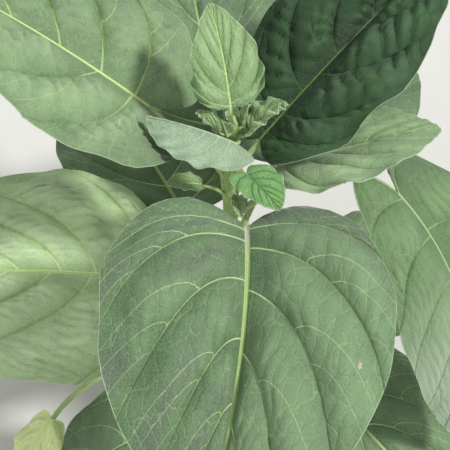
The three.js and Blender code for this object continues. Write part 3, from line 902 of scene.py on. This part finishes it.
# Sizes of the patterns in leaf skin, in millimetres, and how much the painted light on crests counts
# towards its lighter colour. Then how dark the painted shade in the underside's hollows is, how light
# its hairs, and how torn a scar is.
MOTTLE_SIZE = 26
HAIR_SIZE = 1.6
CELL_SIZE = 2.6
PAINTED_CREST_WEIGHT = 0.85
UNDER_HOLLOW_SHADE = 0.72
HAIR_LIGHT = 1.5
SCAR_TORN = 0.9

# The dull bloom on a side vein's flank, partly hairs and partly painted shade, the rim of a blade,
# and a dry scar: papery, with a brown middle.
BLOOM_AND_SHADE = "#556053"
RIM = "#c3d0b4"
SCAR = "#b5ad9a"
SCAR_MIDDLE = "#4c4234"

# Smooth changes in leaf skin: what each follows, from where to where, and what it goes between.
SKIN_FADES = {
    "worn": ("mottle", 0.3, 0.7, 0, 0.4),
    "frost": ("fine", 0.25, 0.75, 0, 0.2),
    "net": ("cell", 0, 0.09, 0.14, 0),
    "patches": ("mottle", 0.35, 0.6, 0.04, 0.2),
    "thread": ("net_gap", 0.1, 0.5, 1, 0),
    "fading": ("out", 0.25, 1, 0.95, 0.5),
    "line": ("nearest", 0.6, 1.5, 1, 0),
    "beyond_foot": ("along", 0.02, 0.16, 0, 1),
    "stripe": ("rib", 0.75, 1.1, 1, 0),
    "rim": ("rim", 0.2, 1.1, 0.6, 0),
    "scar": ("torn", 0.95, 1.1, 0, 1),
    "scar_middle": ("torn", 1.38, 1.46, 0, 1),
    "roughness": ("mottle", 0.3, 0.7, 0.55, 0.72),
    "cells": ("cell", 0, 0.22, 0, 1),
    "sunken": ("net_gap", 0, 1.3, 0, 1),
}
# Where the painted sheen towards a leaf's tip fades in, along the leaf.
PAINTED_TIP_SHEEN_FADE = (0.25, 0.7, 0, 0.75)


def skin_material(name, tones, upper):
    """Leaf skin, grown and covered in short soft hairs: matt, a little silvery at a glance, mottled
    between paler veins, with cross veins and a fine net between them, and pale along its rim. Its
    crests are painted lighter and its hollows darker, as painted light and shade. The upper skin has
    a dull bloom beside its veins, partly hairs and partly painted shade, and on some leaves a painted
    sheen towards the tip. The underside is paler. A dry scar is papery, with a torn brown middle."""
    material, tree, shader = new_material(name)
    rib, vein, net = split_attribute(tree, "vein_gaps")
    painted_crest_light, bloom, along = split_attribute(tree, "blade_places")
    rim, out, branch = split_attribute(tree, "blade_edges")
    mark = split_attribute(tree, "blade_marks")[0]
    where = add_node(tree, "TexCoord")["Object"]
    inputs = {"Vector": where, "Scale": 1 / (MOTTLE_SIZE * MM), "Detail": 5.0, "Roughness": 0.62}
    mottle = add_node(tree, "TexNoise", None, inputs)["Fac"]
    inputs = {"Vector": where, "Scale": 1 / (HAIR_SIZE * MM), "Detail": 3.0}
    fine = add_node(tree, "TexNoise", None, inputs)["Fac"]
    inputs = {"Vector": where, "Scale": 1 / (CELL_SIZE * MM)}
    cell = add_node(tree, "TexVoronoi", {"feature": "DISTANCE_TO_EDGE"}, inputs)["Distance"]
    net_gap = add_node(tree, "Math", {"operation": "ABSOLUTE"}, (net,))["Value"]
    branch_gap = add_node(tree, "Math", {"operation": "ABSOLUTE"}, (branch,))["Value"]
    nearest = add_node(tree, "Math", {"operation": "MINIMUM"}, (vein, branch_gap))["Value"]
    torn = add_node(tree, "Math", {"operation": "MULTIPLY_ADD"}, (fine, SCAR_TORN, mark))["Value"]
    followed = {"mottle": mottle, "fine": fine, "cell": cell, "net_gap": net_gap, "out": out,
                "nearest": nearest, "along": along, "rib": rib, "rim": rim, "torn": torn}
    fade = {
        key: add_node(tree, "MapRange", SMOOTH, (followed[source], *limits))["Result"]
        for key, (source, *limits) in SKIN_FADES.items()
    }
    low, high, veins = (hex_colour(tones[key]) for key in ("low", "high", "vein"))
    # The underside's hollows are painted darker, as painted shade.
    if not upper:
        high = hex_colour(tones["under"])
        low = scaled(high, UNDER_HOLLOW_SHADE)
    clamped = {"operation": "MULTIPLY_ADD", "use_clamp": True}
    # Painted shade in hollows and painted light on crests, with a random mottle over them.
    shade = add_node(tree, "Math", clamped, (painted_crest_light, PAINTED_CREST_WEIGHT, fade["worn"]))["Value"]
    times = {"operation": "MULTIPLY"}
    threads = add_node(tree, "Math", times, (fade["thread"], fade["patches"]))["Value"]
    lines = add_node(tree, "Math", times, (fade["line"], fade["fading"]))["Value"]
    ends = (hex_colour(tones["foot"]), hex_colour(tones["rib"]))
    stripe = add_node(tree, "Mix", COLOURS, (fade["beyond_foot"], *ends))["Result"]
    coats = [(fade["frost"], scaled(high, HAIR_LIGHT))]
    if upper:
        # Dull bloom, partly hairs and partly painted shade.
        coats.append((bloom, hex_colour(BLOOM_AND_SHADE)))
    # A painted sheen towards the tip, on leaves whose skin has a tip colour.
    if upper and "tip" in tones:
        painted_tip_sheen = add_node(tree, "MapRange", SMOOTH, (along, *PAINTED_TIP_SHEEN_FADE))["Result"]
        coats.append((painted_tip_sheen, hex_colour(tones["tip"])))
    coats += [
        (fade["net"], veins),
        (threads, veins),
        (lines, veins),
        (fade["stripe"], stripe),
        (fade["rim"], hex_colour(RIM)),
        (fade["scar"], hex_colour(SCAR)),
        (fade["scar_middle"], hex_colour(SCAR_MIDDLE)),
    ]
    colour = add_node(tree, "Mix", COLOURS, (shade, low, high))["Result"]
    for share, coat in coats:
        colour = add_node(tree, "Mix", COLOURS, (share, colour, coat))["Result"]
    tree.links.new(colour, shader.inputs["Base Color"])
    tree.links.new(fade["roughness"], shader.inputs["Roughness"])
    shader.inputs["IOR"].default_value = 1.42
    shader.inputs["Specular IOR Level"].default_value = 0.35
    shader.inputs["Sheen Weight"].default_value = tones.get("sheen", 0.22)
    shader.inputs["Sheen Roughness"].default_value = 0.45
    inputs = {"Strength": 0.5, "Distance": 0.25 * MM, "Height": fine}
    hairs = add_node(tree, "Bump", None, inputs)["Normal"]
    inputs = {"Strength": 0.45, "Distance": 0.3 * MM, "Height": fade["cells"], "Normal": hairs}
    cells = add_node(tree, "Bump", {"invert": not upper}, inputs)["Normal"]
    inputs = {"Strength": tones.get("relief", 0.4), "Distance": 0.5 * MM, "Height": fade["sunken"],
              "Normal": cells}
    relief = add_node(tree, "Bump", {"invert": not upper}, inputs)["Normal"]
    tree.links.new(relief, shader.inputs["Normal"])
    return material


# How far a stem's streaks are drawn out, and the sizes of its other patterns in millimetres. Then
# the brown of its foot and the share of its length that this reaches, and its other smooth changes,
# written like those of leaf skin.
STREAK_STRETCH = 0.02
STEM_MOTTLE_SIZE = 14
STEM_HAIR_SIZE = 0.9
FOOT_BROWN = "#77784e"
FOOT_BROWN_END = 0.3
STALK_FADES = {
    "pale": ("streaks", 0.35, 0.65, 0, 1),
    "deep": ("mottle", 0.5, 0.75, 0, 0.4),
    "roughness": ("streaks", 0.3, 0.7, 0.45, 0.62),
}


def stalk_material(name, pale, deep, old):
    """Living green stem, grown in ribs: satin, streaked lengthwise, duller and browner at its foot."""
    material, tree, shader = new_material(name)
    turn, way, height = split_attribute(tree, "stalk_places")
    where = add_node(tree, "TexCoord")["Object"]
    slow = add_node(tree, "Math", {"operation": "MULTIPLY"}, (way, STREAK_STRETCH))["Value"]
    streak_place = add_node(tree, "CombineXYZ", None, (turn, slow))["Vector"]
    inputs = {"Vector": streak_place, "Scale": 5.0, "Detail": 4.0}
    streaks = add_node(tree, "TexNoise", None, inputs)["Fac"]
    inputs = {"Vector": where, "Scale": 1 / (STEM_MOTTLE_SIZE * MM), "Detail": 4.0}
    mottle = add_node(tree, "TexNoise", None, inputs)["Fac"]
    inputs = {"Vector": where, "Scale": 1 / (STEM_HAIR_SIZE * MM), "Detail": 2.0}
    fine = add_node(tree, "TexNoise", None, inputs)["Fac"]
    followed = {"streaks": streaks, "mottle": mottle}
    fade = {
        key: add_node(tree, "MapRange", SMOOTH, (followed[source], *limits))["Result"]
        for key, (source, *limits) in STALK_FADES.items()
    }
    brown = add_node(tree, "MapRange", SMOOTH, (height, 0, FOOT_BROWN_END, old, 0))["Result"]
    colour = hex_colour(deep)
    coats = ((fade["pale"], pale), (fade["deep"], deep), (brown, FOOT_BROWN))
    for share, coat in coats:
        colour = add_node(tree, "Mix", COLOURS, (share, colour, hex_colour(coat)))["Result"]
    tree.links.new(colour, shader.inputs["Base Color"])
    tree.links.new(fade["roughness"], shader.inputs["Roughness"])
    shader.inputs["Sheen Weight"].default_value = 0.3
    shader.inputs["Sheen Roughness"].default_value = 0.4
    inputs = {"Strength": 0.5, "Distance": 0.2 * MM, "Height": fine}
    hairs = add_node(tree, "Bump", None, inputs)["Normal"]
    inputs = {"Strength": 0.5, "Distance": 0.4 * MM, "Height": streaks, "Normal": hairs}
    ribs = add_node(tree, "Bump", None, inputs)["Normal"]
    tree.links.new(ribs, shader.inputs["Normal"])
    return material


def floor_material(colour):
    """Matt studio paper: pale, even, with the faintest mottle."""
    material, tree, shader = new_material("studio_paper")
    where = add_node(tree, "TexCoord")["Object"]
    inputs = {"Vector": where, "Scale": 6.0, "Detail": 3.0}
    mottle = add_node(tree, "TexNoise", None, inputs)["Fac"]
    shades = (scaled(colour, 0.96), (*colour[:3], 1.0))
    paper = add_node(tree, "Mix", COLOURS, (mottle, *shades))["Result"]
    tree.links.new(paper, shader.inputs["Base Color"])
    shader.inputs["Roughness"].default_value = 0.9
    return material


def a_number(name, description, default, **limits):
    return FloatProperty(name=name, description=description, default=default, **limits)


def a_length(name, description, default, least=0):
    return a_number(name, description, default, min=least, unit="LENGTH")


def an_angle(name, description, degrees):
    return a_number(name, description, math.radians(degrees), subtype="ANGLE")


def an_amount(name, description, default):
    return a_number(name, description, default, min=0, soft_max=2, subtype="FACTOR")


def a_count(name, description, default, least):
    return IntProperty(name=name, description=description, default=default, min=least)


class TobaccoStemSettings(bpy.types.PropertyGroup):
    swelling: a_length("Swelling", "How far the stem swells under a stalk", 1.3 * MM)
    ridge: a_length("Ridge", "Height of the ridge that runs down from a stalk", 0.5 * MM)


class TobaccoBladeSettings(bpy.types.PropertyGroup):
    thickness: a_length("Thickness", "Thickness of a grown blade between its veins", 0.5 * MM, 0.1 * MM)
    quilt: an_amount("Quilting", "Share of each leaf's bulge between its side veins", 1.0)
    pucker: an_amount("Puckers", "Share of each leaf's bulge between its cross veins", 1.0)
    groove: an_amount("Vein depth", "How deep a vein sinks, as a share of its half width", 0.9)
    columns: a_count("Columns", "Faces across a grown blade", 104, 8)
    rows: a_count("Rows", "Faces along a grown blade", 140, 40)
    small_columns: a_count("Small columns", "Faces across a small blade", 48, 8)
    small_rows: a_count("Small rows", "Faces along a small blade", 96, 40)


class TobaccoStageSettings(bpy.types.PropertyGroup):
    floor_colour: FloatVectorProperty(name="Floor", description="Colour of the studio paper", size=3,
                                      default=hex_colour("#dcdad4")[:3], subtype="COLOR")
    floor_size: a_length("Floor size", "Half the width of the studio paper", 20.0)
    distance: a_length("Distance", "From the camera to the point it looks at", 0.9)
    elevation: an_angle("Elevation", "Height of the camera over the horizon", 52)
    target: FloatVectorProperty(name="Looks at", description="Point that the camera looks at", size=3,
                                default=(-0.002, -0.005, 0.310), subtype="TRANSLATION")
    lens: a_number("Lens", "Focal length on a 36 mm sensor", 86.0)
    key: a_number("Key light", "Strength of the main light", 2.8)
    key_spread: an_angle("Key softness", "How wide the main light looks from the plant", 9)
    fill: a_number("Fill light", "Strength of the light opposite", 0.4)
    fill_spread: an_angle("Fill softness", "How wide the light opposite looks", 70)
    surround: a_number("Surround", "Brightness of the room", 0.6)


class TobaccoSettings(bpy.types.PropertyGroup):
    stem: PointerProperty(type=TobaccoStemSettings)
    blade: PointerProperty(type=TobaccoBladeSettings)
    stage: PointerProperty(type=TobaccoStageSettings)


def grown_leaves():
    return [grow(row, i + 1) for i, row in enumerate(LEAVES)]


def small_leaves():
    return [grow({**SMALL_USUAL, **row}, i + 1, "small_") for i, row in enumerate(SMALL_LEAVES)]


def leaf_materials(leaves):
    """The upper and under skin of each kind of leaf among these, in one pair per kind."""
    return {
        skin: (skin_material(f"{skin}_leaf_skin", SKINS[skin], True),
               skin_material(f"{skin}_leaf_underside", SKINS[skin], False))
        for skin in dict.fromkeys(leaf.skin for leaf in leaves)
    }


# The way from the plant to each lamp, and the colour of the room. Then the tones of stem, bud and
# stalks: pale and deep streaks, and how brown the foot is.
KEY_PLACE = (0.68, -0.17, 0.71)
FILL_PLACE = (-0.6, -0.5, 0.62)
ROOM = "#eef1f4"
STEM_TONES = ("#9ab468", "#7f9a50", 0.7)
BUD_TONES = ("#b9cf8e", "#8fae66", 0.0)
STALK_TONES = ("#b4c88a", "#93ad68", 0.15)


class TOBACCO_OT_stage(bpy.types.Operator):
    """Lays the floor, sets the lights and points the camera from above the front"""

    bl_idname = "tobacco.stage"
    bl_label = "Set the Stage"

    def execute(self, context):
        stage = context.scene.tobacco.stage
        bm = bmesh.new()
        bmesh.ops.create_grid(bm, x_segments=1, y_segments=1, size=stage.floor_size)
        floor = new_object("studio_floor", bm)
        floor.data.materials.append(floor_material(tuple(stage.floor_colour)))
        target = Vector(stage.target)
        away = Vector((0, -math.cos(stage.elevation), math.sin(stage.elevation)))
        camera = bpy.data.cameras.new("photo_camera")
        camera.lens = stage.lens
        camera.sensor_fit = "HORIZONTAL"
        seat = bpy.data.objects.new("photo_camera", camera)
        seat.location = target + away * stage.distance
        seat.rotation_euler = away.to_track_quat("Z", "Y").to_euler()
        context.scene.collection.objects.link(seat)
        context.scene.camera = seat
        lamps = (
            ("key_light", stage.key, stage.key_spread, KEY_PLACE),
            ("fill_light", stage.fill, stage.fill_spread, FILL_PLACE),
        )
        for name, strength, spread, place in lamps:
            light = bpy.data.lights.new(name, "SUN")
            light.energy = strength
            light.angle = spread
            lamp = bpy.data.objects.new(name, light)
            lamp.rotation_euler = Vector(place).to_track_quat("Z", "Y").to_euler()
            context.scene.collection.objects.link(lamp)
        world = bpy.data.worlds.new("studio")
        world.use_nodes = True
        room = world.node_tree.nodes["Background"]
        room.inputs["Color"].default_value = hex_colour(ROOM)
        room.inputs["Strength"].default_value = stage.surround
        context.scene.world = world
        context.scene.view_settings.view_transform = "Standard"
        return {"FINISHED"}


class TOBACCO_OT_stem(bpy.types.Operator):
    """Makes the ribbed stem and the growing tip on it"""

    bl_idname = "tobacco.stem"
    bl_label = "Grow the Stem"

    def execute(self, context):
        leaves = grown_leaves() + small_leaves()
        make_stem(leaves, context.scene.tobacco.stem, stalk_material("stem_skin", *STEM_TONES))
        make_bud(stalk_material("bud_skin", *BUD_TONES))
        return {"FINISHED"}


class TOBACCO_OT_stalks(bpy.types.Operator):
    """Makes the channelled stalk and midrib of every leaf"""

    bl_idname = "tobacco.stalks"
    bl_label = "Grow the Stalks"

    def execute(self, context):
        material = stalk_material("stalk_skin", *STALK_TONES)
        for leaf in grown_leaves() + small_leaves():
            make_stalk(leaf, material)
        return {"FINISHED"}


class TOBACCO_OT_leaves(bpy.types.Operator):
    """Makes the veined blades of the grown leaves"""

    bl_idname = "tobacco.leaves"
    bl_label = "Grow the Leaves"

    def execute(self, context):
        settings = context.scene.tobacco.blade
        leaves = grown_leaves()
        skins = leaf_materials(leaves)
        for leaf in leaves:
            make_blade(leaf, settings.columns, settings.rows, settings, skins)
        return {"FINISHED"}


class TOBACCO_OT_crown(bpy.types.Operator):
    """Makes the small leaves of the crown and of the axils"""

    bl_idname = "tobacco.crown"
    bl_label = "Grow the Crown"

    def execute(self, context):
        settings = context.scene.tobacco.blade
        leaves = small_leaves()
        skins = leaf_materials(leaves)
        for leaf in leaves:
            make_blade(leaf, settings.small_columns, settings.small_rows, settings, skins)
            if leaf.wing:
                make_wings(leaf, skins)
        return {"FINISHED"}


OPERATORS = (TOBACCO_OT_stage, TOBACCO_OT_stem, TOBACCO_OT_stalks, TOBACCO_OT_leaves, TOBACCO_OT_crown)


class TOBACCO_PT_panel(bpy.types.Panel):
    """Lists the plant's sizes and the steps that build it"""

    bl_idname = "TOBACCO_PT_panel"
    bl_label = "Tobacco Plant"
    bl_space_type = "VIEW_3D"
    bl_region_type = "UI"
    bl_category = "Tobacco Plant"

    def draw(self, context):
        settings = context.scene.tobacco
        for group in (settings.stem, settings.blade, settings.stage):
            box = self.layout.box()
            for name in group.__annotations__:
                box.prop(group, name)
        for operator in OPERATORS:
            self.layout.operator(operator.bl_idname)


CLASSES = (TobaccoStemSettings, TobaccoBladeSettings, TobaccoStageSettings, TobaccoSettings,
           *OPERATORS, TOBACCO_PT_panel)


def register():
    for one in CLASSES:
        bpy.utils.register_class(one)
    bpy.types.Scene.tobacco = PointerProperty(type=TobaccoSettings)


def unregister():
    del bpy.types.Scene.tobacco
    for one in reversed(CLASSES):
        bpy.utils.unregister_class(one)


def main():
    register()
    bpy.ops.tobacco.stage()
    bpy.ops.tobacco.stem()
    bpy.ops.tobacco.stalks()
    bpy.ops.tobacco.leaves()
    bpy.ops.tobacco.crown()


if __name__ == "__main__":
    main()
